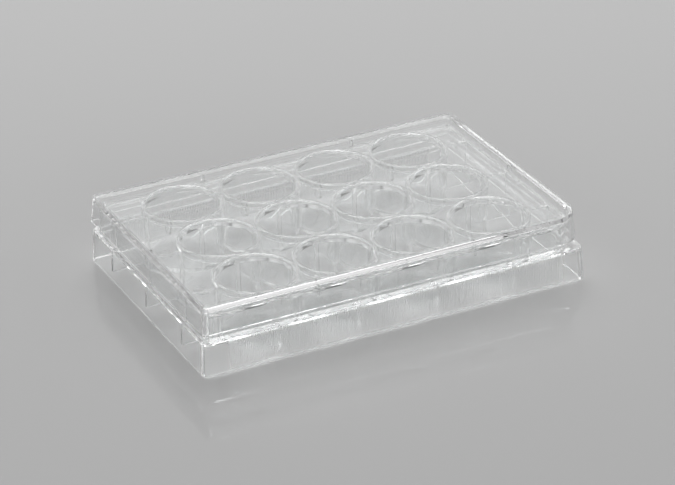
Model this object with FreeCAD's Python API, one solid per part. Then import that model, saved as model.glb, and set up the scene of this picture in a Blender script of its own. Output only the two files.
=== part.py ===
"""Twelve-well culture plate with its loose lid, both moulded in clear polystyrene.

Millimetres, +Z up. The origin is the middle of the footprint, on the surface that the plate stands on.
+X runs along the rows, from column 1 to column 4, and +Y from row C to row A.
Each piece is one moulding: the plate with its skirt, deck, wells and webs, and the lid with its rim.
"""

import FreeCAD
import Part
import math
import os

V = FreeCAD.Vector

# Footprint and wells
plate_length = 127.76
plate_width = 85.48
columns = 4
rows = 3
well_pitch = 26.0

# Skirt of the plate: an upright foot band, a tapered band above it, and a ledge that falls outward on top
skirt_height = 11.0
skirt_wall = 1.3
skirt_taper = 0.55          # how far the top edge stands inside the foot, on each side
skirt_corner = 2.5
foot_band = 1.3             # height of the upright band at the foot
foot_round = 0.4            # on the foot's outer edge
ledge_thickness = 1.2
ledge_fall = 0.3            # how much lower the ledge's outer edge is than its inner one
skirt_edge_round = 0.2

# Upper body of the plate, inside the skirt line
deck_height = 18.5
deck_thickness = 1.2
ledge_width = 2.2           # from the skirt's top edge in to the upper wall
upper_wall = 1.3
upper_taper = 0.2
upper_corner = 2.0
keyed_corner = 6.5          # the rounder corner beside well C4, on the upper body
deck_edge_round = 0.2

# Wells: round, with a little draft, each with a rim that stands above the deck
rim_gap = 0.3               # between the rims of two neighbours
rim_width = 1.25
rim_height = 1.4            # how far a rim stands above the deck
rim_round = 0.3             # on a rim's two edges
well_draft = 0.4            # how much less a well's radius is at its floor than at its mouth
well_wall = 1.1
floor_height = 2.6
floor_thickness = 1.3
floor_round = 0.25          # where a well's wall meets its floor
under_round = 0.3           # on the outer edge under a well's floor

# Webs under the deck, on the centre line of every row and column
web_thickness = 1.2
web_foot = 3.0              # height of the webs' lower edge

# Grip ribs on the two long sides of the skirt, left between V grooves that run out through its top edge
rib_pitch = 0.6
rib_land = 0.06             # flat width on top of each rib
groove_depth = 0.2
groove_foot = 1.4           # where the grooves begin, above the skirt's foot
groove_run_in = 0.6         # height over which a groove reaches its depth
groove_start = 0.01         # share of its full depth that the cutter has at the grooves' lower end
groove_end_gap = 8.5        # plain length at each end of a long side

# Row letters on the deck beside column 1
letter_height = 4.6
letter_width = 3.2
letter_stroke = 0.6
letter_relief = 0.3
letter_margin = 7.4         # from the end of the footprint to the letters' middle

# Lid
lid_wall = 1.2
lid_clearance = 1.25        # between the lid's lower edge and the plate's upper wall
lid_taper = 0.8             # how far the lid's upper edge stands inside its lower one, on each side
lid_drop = 2.3              # gap between the ledge and the lid's lower edge
lid_over_rims = 0.3         # air between the well rims and the lid's underside
lid_panel = 1.1
lid_corner = 1.5
lid_back_corner = 3.5       # the corner beside well A4
lid_keyed_corner = 8.5      # the rounder corner beside well C4
rim_band_width = 1.8        # the raised band round the lid's top, which locates a plate stacked on it
rim_band_height = 0.8
rim_band_lean = 0.25        # how far the band's inner side leans outward for each unit of height
lid_edge_round = 0.2
lid_small_round = 0.15

# Spacers inside the lid, which rest on the deck's edge and keep air under the lid
spacer_width = 0.6
spacer_reach = 1.2          # inward from the lid's inner wall
spacer_clearance = 0.3      # between a spacer's upright rib and the plate's upper wall
spacer_rib_foot = 3.6       # above the lid's lower edge

# Corners inside a wall keep at least this radius, however thick the wall
least_radius = 0.6

# Sizes that follow
ledge_edge = skirt_height - ledge_fall               # height of the skirt's top edge
rim_radius = (well_pitch - rim_gap) / 2
well_radius_top = rim_radius - rim_width
well_radius_floor = well_radius_top - well_draft
upper_inset = skirt_taper + ledge_width              # foot of the upper wall, inside the footprint
lid_foot_inset = upper_inset - lid_clearance - lid_wall
lid_head_inset = lid_foot_inset + lid_taper
rim_top = deck_height + rim_height
lid_foot = skirt_height + lid_drop
panel_bottom = rim_top + lid_over_rims
panel_top = panel_bottom + lid_panel
lid_top = panel_top + rim_band_height
under = 1.0                 # how far a cutting tool runs past the face that it opens


def rounded_outline(inset, z, radii):
    """Closed wire: the footprint drawn in by inset at height z, its corners rounded.

    radii are the corners' radii in the order front left, front right, back right, back left.
    """
    half_x = plate_length / 2 - inset
    half_y = plate_width / 2 - inset
    signs = [(-1, -1), (1, -1), (1, 1), (-1, 1)]
    arcs = []
    for corner, ((sx, sy), radius) in enumerate(zip(signs, radii)):
        centre = V(sx * (half_x - radius), sy * (half_y - radius), z)
        first = math.radians(180 + 90 * corner)
        angles = (first, first + math.pi / 4, first + math.pi / 2)
        arcs.append([centre + V(radius * math.cos(a), radius * math.sin(a), 0) for a in angles])
    edges = []
    for corner, arc in enumerate(arcs):
        following = arcs[(corner + 1) % 4]
        edges.append(Part.Arc(*arc).toShape())
        edges.append(Part.LineSegment(arc[2], following[0]).toShape())
    return Part.Wire(edges)


def tapered_block(*levels):
    """Solid with flat sides through outlines, each given as (inset, z, radii), the lowest first."""
    return Part.makeLoft([rounded_outline(*level) for level in levels], True, True)


def drawn_in(radii, distance):
    """Corner radii of an outline drawn in by distance."""
    return [max(radius - distance, least_radius) for radius in radii]


def round_loop(solid, z, radius):
    """Rounds the edges of a solid that lie wholly at height z."""
    loop = [edge for edge in solid.Edges if all(abs(v.Z - z) < 1e-6 for v in edge.Vertexes)]
    return solid.makeFillet(radius, loop)


def well_centres():
    """(x, y) of every well, row A at the back first, column 1 first in each row."""
    for row in range(rows):
        for column in range(columns):
            yield (
                (column - (columns - 1) / 2) * well_pitch,
                ((rows - 1) / 2 - row) * well_pitch,
            )


def turned(profile):
    """Solid turned round the Z axis from (radius, z, round) corners that start and end on the axis.

    A corner whose round isn't 0 becomes an arc of that radius, tangent to its two sides.
    """
    corners = [V(radius, 0, z) for radius, z, rounding in profile]
    edges = []
    last = corners[0]
    for index in range(1, len(profile)):
        corner = corners[index]
        rounding = profile[index][2]
        if rounding:
            back = (corners[index - 1] - corner).normalize()
            on = (corners[index + 1] - corner).normalize()
            half_angle = back.getAngle(on) / 2
            reach = rounding / math.tan(half_angle)
            centre = corner + (back + on).normalize() * (rounding / math.sin(half_angle))
            middle = centre + (corner - centre).normalize() * rounding
            edges.append(Part.LineSegment(last, corner + back * reach).toShape())
            edges.append(Part.Arc(corner + back * reach, middle, corner + on * reach).toShape())
            last = corner + on * reach
        else:
            edges.append(Part.LineSegment(last, corner).toShape())
            last = corner
    edges.append(Part.LineSegment(last, corners[0]).toShape())
    return Part.Face(Part.Wire(edges)).revolve(V(0, 0, 0), V(0, 0, 1), 360)


def well_body():
    """The outside of one well, from under its floor to its raised rim."""
    floor_under = floor_height - floor_thickness
    slope = (well_radius_top - well_radius_floor) / (rim_top - floor_height)
    foot_radius = well_radius_floor + well_wall - slope * floor_thickness
    deck_radius = well_radius_floor + well_wall + slope * (deck_height - floor_height)
    return turned([
        (0, floor_under, 0),
        (foot_radius, floor_under, under_round),
        (deck_radius, deck_height - deck_thickness / 2, 0),
        (rim_radius, deck_height - deck_thickness / 2, 0),
        (rim_radius, rim_top, rim_round),
        (0, rim_top, 0),
    ])


def well_bore():
    """The space inside one well, open at the top."""
    return turned([
        (0, floor_height, 0),
        (well_radius_floor, floor_height, floor_round),
        (well_radius_top, rim_top, rim_round),
        (well_radius_top + under, rim_top, 0),
        (well_radius_top + under, rim_top + under, 0),
        (0, rim_top + under, 0),
    ])


def at_every_well(shape):
    """Copies of one shape, one at each well."""
    copies = []
    for x, y in well_centres():
        copy = shape.copy()
        copy.translate(V(x, y, 0))
        copies.append(copy)
    return copies


def webs():
    """Upright webs on the row and column lines, as long as the plate."""
    height = deck_height - web_foot
    found = []
    for row in range(rows):
        y = (row - (rows - 1) / 2) * well_pitch
        corner = V(-plate_length / 2, y - web_thickness / 2, web_foot)
        found.append(Part.makeBox(plate_length, web_thickness, height, corner))
    for column in range(columns):
        x = (column - (columns - 1) / 2) * well_pitch
        corner = V(x - web_thickness / 2, -plate_width / 2, web_foot)
        found.append(Part.makeBox(web_thickness, plate_width, height, corner))
    return found


def skirt_face(z):
    """Distance of the skirt's outer face inside the footprint at height z."""
    return skirt_taper * max(z - foot_band, 0) / (ledge_edge - foot_band)


def groove_outline(z, depth):
    """Closed comb along the front of the skirt at height z, its teeth as deep in the face as given.

    Between two teeth the comb stands clear of the face, which leaves a rib with a flat top there.
    """
    face = -plate_width / 2 + skirt_face(z)
    half_run = plate_length / 2 - groove_end_gap
    count = int(2 * half_run / rib_pitch)
    start = -count * rib_pitch / 2
    slope = groove_depth / ((rib_pitch - rib_land) / 2)
    root = face - slope * rib_land / 2
    tip = root + (depth / groove_depth) * (groove_depth + slope * rib_land / 2)
    points = [V(start, root - under, z), V(start, root, z)]
    for groove in range(count):
        points.append(V(start + (groove + 0.5) * rib_pitch, tip, z))
        points.append(V(start + (groove + 1) * rib_pitch, root, z))
    points.append(V(-start, root - under, z))
    return Part.makePolygon(points + points[:1])


def grooves():
    """The cutting tools for the grooves of the two long sides, as two solids."""
    levels = [
        (groove_foot, groove_start * groove_depth),
        (groove_foot + groove_run_in, groove_depth),
        (skirt_height + under, groove_depth),
    ]
    front = Part.makeLoft([groove_outline(*level) for level in levels], True, True)
    back = front.copy()
    back.rotate(V(0, 0, 0), V(0, 0, 1), 180)
    return [front, back]


def stroke(start, end):
    """One straight stroke of a letter, from start to end in the letter's own box, 0 to 1 each way."""
    x0, x1 = [(value[0] - 0.5) * letter_width for value in (start, end)]
    y0, y1 = [(value[1] - 0.5) * letter_height for value in (start, end)]
    length = math.hypot(x1 - x0, y1 - y0) + letter_stroke
    bar = Part.makeBox(
        length, letter_stroke, letter_relief + deck_thickness / 2,
        V(-letter_stroke / 2, -letter_stroke / 2, deck_height - deck_thickness / 2),
    )
    bar.rotate(V(0, 0, 0), V(0, 0, 1), math.degrees(math.atan2(y1 - y0, x1 - x0)))
    bar.translate(V(x0, y0, 0))
    return bar


LETTERS = {
    "A": [((0, 0), (0.5, 1)), ((0.5, 1), (1, 0)), ((0.2, 0.36), (0.8, 0.36))],
    "B": [
        ((0, 0), (0, 1)), ((0, 1), (0.8, 1)), ((0, 0.52), (0.8, 0.52)), ((0, 0), (0.8, 0)),
        ((0.8, 1), (0.98, 0.76)), ((0.98, 0.76), (0.8, 0.52)),
        ((0.8, 0.52), (1, 0.26)), ((1, 0.26), (0.8, 0)),
    ],
    "C": [
        ((1, 0.8), (0.75, 1)), ((0.75, 1), (0.25, 1)), ((0.25, 1), (0, 0.75)),
        ((0, 0.75), (0, 0.25)), ((0, 0.25), (0.25, 0)), ((0.25, 0), (0.75, 0)), ((0.75, 0), (1, 0.2)),
    ],
}


def row_letters():
    """Plain raised row letters on the deck, row A at the back."""
    found = []
    for row, name in enumerate("ABC"):
        bars = [stroke(*ends) for ends in LETTERS[name]]
        letter = bars[0].fuse(bars[1:])
        y = ((rows - 1) / 2 - row) * well_pitch
        letter.translate(V(-plate_length / 2 + letter_margin, y, 0))
        found.append(letter)
    return found


def make_well_plate():
    skirt_radii = [skirt_corner] * 4
    upper_radii = [upper_corner, keyed_corner, upper_corner, upper_corner]
    skirt_outside = tapered_block(
        (0, 0, skirt_radii),
        (0, foot_band, skirt_radii),
        (skirt_taper, ledge_edge, skirt_radii),
        (upper_inset, skirt_height, upper_radii),
    )
    skirt_outside = round_loop(skirt_outside, ledge_edge, skirt_edge_round)
    skirt_outside = round_loop(skirt_outside, 0, foot_round)
    inside_radii = drawn_in(upper_radii, upper_wall)
    skirt_inside = tapered_block(
        (skirt_wall, -under, drawn_in(skirt_radii, skirt_wall)),
        (skirt_taper + skirt_wall, ledge_edge - ledge_thickness, drawn_in(skirt_radii, skirt_wall)),
        (upper_inset + upper_wall, skirt_height - ledge_thickness, inside_radii),
    )

    head_inset = upper_inset + upper_taper
    upper_outside = tapered_block(
        (upper_inset, skirt_height - ledge_thickness / 2, upper_radii),
        (head_inset, deck_height, upper_radii),
    )
    upper_outside = round_loop(upper_outside, deck_height, deck_edge_round)
    upper_inside = tapered_block(
        (upper_inset + upper_wall, -under, inside_radii),
        (head_inset + upper_wall, deck_height - deck_thickness, inside_radii),
    )

    wells = at_every_well(well_body())
    outside = skirt_outside.cut(grooves()).fuse([upper_outside] + row_letters() + wells)
    hollow = skirt_inside.fuse(upper_inside).cut(wells + webs())
    plate = outside.cut(hollow).cut(at_every_well(well_bore()))
    return plate.removeSplitter()


def spacer(inner_face, room):
    """One spacer of the lid, standing at x = 0 on the front wall.

    inner_face is the y of the lid's inner wall at the panel, and room the y of the plate's upper wall.
    """
    foot = Part.makeBox(
        spacer_width, spacer_reach + lid_wall / 2, panel_bottom + lid_panel / 2 - deck_height,
        V(-spacer_width / 2, inner_face - lid_wall / 2, deck_height),
    )
    rib_bottom = lid_foot + spacer_rib_foot
    rib = Part.makeBox(
        spacer_width, room - spacer_clearance - inner_face + lid_wall / 2, panel_bottom - rib_bottom,
        V(-spacer_width / 2, inner_face - lid_wall / 2, rib_bottom),
    )
    return foot.fuse(rib)


def spacers():
    """Six spacers: two on each long side, between columns, and one at the middle of each end."""
    inset = lid_head_inset + lid_wall
    found = []
    half = plate_width / 2
    for turn in (0, 180):
        for x in (-well_pitch, well_pitch):
            piece = spacer(inset - half, upper_inset - half)
            piece.translate(V(x, 0, 0))
            piece.rotate(V(0, 0, 0), V(0, 0, 1), turn)
            found.append(piece)
    half = plate_length / 2
    for turn in (90, -90):
        piece = spacer(inset - half, upper_inset - half)
        piece.rotate(V(0, 0, 0), V(0, 0, 1), turn)
        found.append(piece)
    return found


def make_lid():
    radii = [lid_corner, lid_keyed_corner, lid_back_corner, lid_corner]
    outside = tapered_block(
        (lid_foot_inset, lid_foot, radii),
        (lid_head_inset, lid_top, radii),
    )
    outside = round_loop(outside, lid_top, lid_edge_round)
    outside = round_loop(outside, lid_foot, lid_small_round)
    inner_radii = drawn_in(radii, lid_wall)
    lean = (lid_head_inset - lid_foot_inset) / (lid_top - lid_foot)
    inside = tapered_block(
        (lid_foot_inset + lid_wall - lean * under, lid_foot - under, inner_radii),
        (lid_foot_inset + lid_wall + lean * (panel_bottom - lid_foot), panel_bottom, inner_radii),
    )
    inside = round_loop(inside, panel_bottom, lid_small_round)
    recess_inset = lid_head_inset + rim_band_width
    recess_radii = drawn_in(radii, rim_band_width)
    recess = tapered_block(
        (recess_inset + rim_band_lean * rim_band_height, panel_top, recess_radii),
        (recess_inset - rim_band_lean * under, lid_top + under, recess_radii),
    )
    shell = outside.cut([inside, recess])
    return shell.fuse(spacers()).removeSplitter()


os.makedirs("parts", exist_ok=True)
for name, make in (("well_plate", make_well_plate), ("lid", make_lid)):
    shape = make()
    print(name, "solids", len(shape.Solids), "valid", shape.isValid(), "volume", round(shape.Volume, 1))
    shape.exportStep(f"parts/{name}.step")
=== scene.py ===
import math

import bmesh
import bpy
import numpy as np
from mathutils import Matrix, Vector


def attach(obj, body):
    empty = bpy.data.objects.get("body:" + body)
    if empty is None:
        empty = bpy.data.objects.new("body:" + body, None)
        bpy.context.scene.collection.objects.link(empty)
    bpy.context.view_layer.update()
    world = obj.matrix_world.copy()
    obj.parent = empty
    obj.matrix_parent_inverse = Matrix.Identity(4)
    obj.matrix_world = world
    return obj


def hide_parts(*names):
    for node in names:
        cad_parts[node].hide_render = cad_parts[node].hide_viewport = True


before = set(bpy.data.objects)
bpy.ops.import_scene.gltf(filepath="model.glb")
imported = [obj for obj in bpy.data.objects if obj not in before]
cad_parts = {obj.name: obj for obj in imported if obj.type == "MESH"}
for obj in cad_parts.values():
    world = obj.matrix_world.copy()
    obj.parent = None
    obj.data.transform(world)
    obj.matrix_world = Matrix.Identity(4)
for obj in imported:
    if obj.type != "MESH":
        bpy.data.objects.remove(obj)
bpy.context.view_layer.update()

scene = bpy.context.scene
scene.view_settings.view_transform = "Standard"


# ---- Well plate ----
# The plate is one injection moulding in crystal-clear polystyrene, glossy from a polished mould.
# Its skin has a faint swirl where the melt flowed, and the grip grooves of its long sides are left
# a little matt by the cutter that made them in the mould.

class Socket:
    """A shader socket with + * < > abs and number - socket, so that shader maths reads as written."""

    def __init__(self, tree, link=None):
        self.tree = tree
        self.link = link

    def node(self, kind, settings=None, output=0, **values):
        """Adds a node of this kind, sets its settings, then its inputs by name, and gives one output.

        An input's spaces are written as underscores, and i0, i1 and so on stand for inputs by number.
        """
        made = self.tree.nodes.new(kind)
        for name, value in (settings or {}).items():
            setattr(made, name, value)
        for name, value in values.items():
            key = int(name[1:]) if name[0] == "i" and name[1:].isdigit() else name.replace("_", " ")
            if isinstance(value, Socket):
                self.tree.links.new(value.link, made.inputs[key])
            else:
                made.inputs[key].default_value = value
        return Socket(self.tree, made.outputs[output]) if made.outputs else None

    def maths(self, operation, other=0.0):
        return self.node("ShaderNodeMath", {"operation": operation}, i0=self, i1=other)

    def __add__(self, other):
        return self.maths("ADD", other)

    def __rsub__(self, other):
        return self.node("ShaderNodeMath", {"operation": "SUBTRACT"}, i0=other, i1=self)

    def __mul__(self, other):
        return self.maths("MULTIPLY", other)

    def __gt__(self, other):
        return self.maths("GREATER_THAN", other)

    def __lt__(self, other):
        return self.maths("LESS_THAN", other)

    def __abs__(self):
        return self.maths("ABSOLUTE")

    __radd__ = __add__
    __rmul__ = __mul__


def new_material(name):
    """An empty material, and a socket of its object coordinates."""
    material = bpy.data.materials.new(name)
    material.use_nodes = True
    material.node_tree.nodes.clear()
    return material, Socket(material.node_tree).node("ShaderNodeTexCoord", output="Object")


plastic_colour = (0.985, 0.99, 0.99, 1.0)
plastic_index = 1.59
plastic_shadow = (0.86, 0.86, 0.86, 1.0)    # what a lamp's light keeps as it passes one face
flow_scale = 90.0                           # swirls of about 11 mm
flow_detail = 2.0
flow_depth = 3e-6
haze_scale = 700.0
haze_detail = 4.0
haze_roughness = 0.01


def clear_polystyrene(place, roughness):
    """Clear plastic that is glossy but for this roughness, and that lets the lamps shine through it."""
    flow = place.node("ShaderNodeTexNoise", Vector=place, Scale=flow_scale, Detail=flow_detail)
    skin = place.node("ShaderNodeBump", Height=flow, Strength=1.0, Distance=flow_depth)
    haze = place.node("ShaderNodeTexNoise", Vector=place, Scale=haze_scale, Detail=haze_detail)
    plastic = place.node(
        "ShaderNodeBsdfPrincipled",
        Base_Color=plastic_colour,
        Roughness=roughness + haze_roughness * haze,
        Normal=skin,
        IOR=plastic_index,
        Transmission_Weight=1.0,
    )
    mixed = place.node(
        "ShaderNodeMixShader",
        i0=place.node("ShaderNodeLightPath", output="Is Shadow Ray"),
        i1=plastic,
        i2=place.node("ShaderNodeBsdfTransparent", Color=plastic_shadow),
    )
    place.node("ShaderNodeOutputMaterial", Surface=mixed)


crease = math.radians(40)
same_point = 1e-6
large_face_bias = 100


def moulding(node, name, material):
    """A copy of a CAD node's mesh, its triangles joined and shaded smooth but for edges past the crease."""
    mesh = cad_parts[node].data.copy()
    mesh.name = name
    mesh.attributes.remove(mesh.attributes["custom_normal"])
    joined = bmesh.new()
    joined.from_mesh(mesh)
    bmesh.ops.remove_doubles(joined, verts=joined.verts, dist=same_point)
    joined.to_mesh(mesh)
    joined.free()
    mesh.update()
    mesh.shade_smooth()
    mesh.set_sharp_from_angle(angle=crease)
    mesh.materials.clear()
    mesh.materials.append(material)
    piece = bpy.data.objects.new(name, mesh)
    scene.collection.objects.link(piece)
    weighted = piece.modifiers.new("weighted", "WEIGHTED_NORMAL")
    weighted.keep_sharp = True
    weighted.weight = large_face_bias
    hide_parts(node)
    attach(piece, "root")


groove_face = 0.0417        # half the distance between the two ribbed faces
groove_run = 0.0555         # half the length of the ribbed part of a face
groove_foot = 0.0014        # the ribs run from this height
groove_top = 0.0106         # to this one
groove_roughness = 0.35

plate_plastic, place = new_material("plate_polystyrene")
x = place.node("ShaderNodeSeparateXYZ", output="X", Vector=place)
y = place.node("ShaderNodeSeparateXYZ", output="Y", Vector=place)
z = place.node("ShaderNodeSeparateXYZ", output="Z", Vector=place)
grip = (abs(y) > groove_face) * (abs(x) < groove_run) * (z > groove_foot) * (z < groove_top)
clear_polystyrene(place, grip * groove_roughness)
moulding("well_plate", "plate_moulding", plate_plastic)

# ---- Lid ----
# The lid is a second moulding in the same polystyrene, glossy all over.
# It lies loose on the plate: its six spacers rest on the edge of the deck.

lid_plastic, place = new_material("lid_polystyrene")
clear_polystyrene(place, 0.0)
moulding("lid", "lid_moulding", lid_plastic)

# ---- Table ----
# A round table top in pale grey laminate, glossy enough to mirror what stands on it.
# It lies a hair below the plate's foot, as a hard top does under a moulding that is never quite flat.

table_radius = 4.0
table_gap = 0.00002
table_colour = (0.585, 0.585, 0.585, 1.0)
table_roughness = 0.03
table_index = 1.45

# The rim's points lie on a circle, at evenly spaced angles
rim_points = 96
rim_angle = np.linspace(0, 2 * math.pi, rim_points, endpoint=False)
rim = table_radius * np.stack([np.cos(rim_angle), np.sin(rim_angle), 0 * rim_angle], 1)
rim[:, 2] = -table_gap
table_mesh = bpy.data.meshes.new("table")
table_mesh.from_pydata(rim.tolist(), [], [list(range(rim_points))])
table = bpy.data.objects.new("table", table_mesh)
scene.collection.objects.link(table)
table_grey, place = new_material("table_grey")
laminate = place.node(
    "ShaderNodeBsdfPrincipled",
    Base_Color=table_colour,
    Roughness=table_roughness,
    IOR=table_index,
)
place.node("ShaderNodeOutputMaterial", Surface=laminate)
table_mesh.materials.append(table_grey)

# ---- Light tent ----
# A tent of white cloth round the table: a brighter sheet behind, a black flag beside it, a dark ceiling.
# Two low lamps behind the cloth, one in front and one at the left, make soft glows in it.
# What the clear plastic mirrors and bends into view is mostly this tent.

tent_tone = 0.5
backdrop_tone = 0.75
ceiling_tone = 0.05
front_glow_tone = 2.2
left_glow_tone = 1.7
flag_tone = 0.02

world = bpy.data.worlds.new("light_tent")
scene.world = world
world.use_nodes = True
world.node_tree.nodes.clear()
toward = Socket(world.node_tree).node("ShaderNodeTexCoord", output="Generated")
height = toward.node("ShaderNodeSeparateXYZ", output="Z", Vector=toward)
flat = toward.node("ShaderNodeVectorMath", {"operation": "MULTIPLY"}, i0=toward, i1=(1.0, 1.0, 0.0))
flat = toward.node("ShaderNodeVectorMath", {"operation": "NORMALIZE"}, i0=flat)


def smooth_step(value, low, high):
    """0 below low, 1 above high, a smooth S between."""
    return value.node(
        "ShaderNodeMapRange", {"interpolation_type": "SMOOTHSTEP"},
        Value=value, From_Min=low, From_Max=high, To_Min=0.0, To_Max=1.0,
    )


def above(elevation, reach):
    """1 above this elevation, falling smoothly to 0 reach degrees lower."""
    return smooth_step(height, math.sin(math.radians(elevation - reach)), math.sin(math.radians(elevation)))


def beside(azimuth, inner, outer):
    """1 within inner degrees of this azimuth, falling smoothly to 0 at outer degrees."""
    turn = math.radians(azimuth)
    along = flat.node(
        "ShaderNodeVectorMath", {"operation": "DOT_PRODUCT"}, output="Value",
        i0=flat, i1=(math.cos(turn), math.sin(turn), 0.0),
    )
    return smooth_step(along, math.cos(math.radians(outer)), math.cos(math.radians(inner)))


# Azimuths run anticlockwise from the plate's right end, so the front is 270
backdrop = beside(azimuth=63.5, inner=9, outer=20)
flag_foot = above(elevation=16, reach=6)
flag_top = above(elevation=44, reach=6)
flag = beside(azimuth=101, inner=19, outer=25) * flag_foot * (1.0 - flag_top)
front_glow = beside(azimuth=278, inner=22, outer=46) * (1.0 - above(elevation=24, reach=12))
left_glow = beside(azimuth=158, inner=12, outer=34) * (1.0 - above(elevation=16, reach=10))
ceiling = above(elevation=52, reach=17)
tone = tent_tone + backdrop * (backdrop_tone - tent_tone)
tone = tone + front_glow * (front_glow_tone - tent_tone) + left_glow * (left_glow_tone - tent_tone)
tone = tone * (1.0 - flag) + flag * flag_tone
tone = tone * (1.0 - ceiling) + ceiling * ceiling_tone
cloth = toward.node("ShaderNodeBackground", Color=tone)
toward.node("ShaderNodeOutputWorld", Surface=cloth)

# ---- Soft box ----
# One lamp behind a rectangular diffuser hangs high behind the table.
# Its mirror image is the white line along the ledge.

box_azimuth = math.radians(66)
box_elevation = math.radians(54)
box_distance = 1.5
box_width = 1.4
box_height = 0.86
box_brightness = 4.0
lamp = bpy.data.lights.new("back_box", "AREA")
lamp.shape = "RECTANGLE"
lamp.size = box_width
lamp.size_y = box_height
lamp.energy = box_brightness * math.pi * box_width * box_height
out = Vector((
    math.cos(box_azimuth) * math.cos(box_elevation),
    math.sin(box_azimuth) * math.cos(box_elevation),
    math.sin(box_elevation),
))
box = bpy.data.objects.new("back_box", lamp)
scene.collection.objects.link(box)
box.matrix_world = Matrix.Translation(out * box_distance) @ out.to_track_quat("Z", "Y").to_matrix().to_4x4()
box.visible_camera = False

# ---- Camera ----
# A long lens from the front left, looking down at the plate.
# Its azimuth is 0 straight in front of the plate, and negative toward the left end.

camera_azimuth = math.radians(-26.205)
camera_elevation = math.radians(27.482)
camera_roll = math.radians(-1.159)
camera_distance = 0.9088
target = Vector((0.008156, 0.015106, 0.0))
sensor_width = 36.0         # millimetres, as is the focal length
focal_length = 154.84
far_clip = 20.0
back = Vector((
    math.sin(camera_azimuth) * math.cos(camera_elevation),
    -math.cos(camera_azimuth) * math.cos(camera_elevation),
    math.sin(camera_elevation),
))
level = (-back).cross(Vector((0, 0, 1))).normalized()
upright = level.cross(-back)
side = level * math.cos(camera_roll) + upright * math.sin(camera_roll)
up = upright * math.cos(camera_roll) - level * math.sin(camera_roll)
lens = bpy.data.cameras.new("camera")
lens.sensor_width = sensor_width
lens.lens = focal_length
lens.clip_end = far_clip
camera = bpy.data.objects.new("camera", lens)
scene.collection.objects.link(camera)
facing = Matrix((side, up, back)).transposed().to_4x4()
camera.matrix_world = Matrix.Translation(target + back * camera_distance) @ facing
scene.camera = camera

# Light passes dozens of faces inside the thin clear walls before it leaves them
bounces = 128
transparent_bounces = 32
scene.cycles.max_bounces = bounces
scene.cycles.transmission_bounces = bounces
scene.cycles.glossy_bounces = bounces
scene.cycles.transparent_max_bounces = transparent_bounces
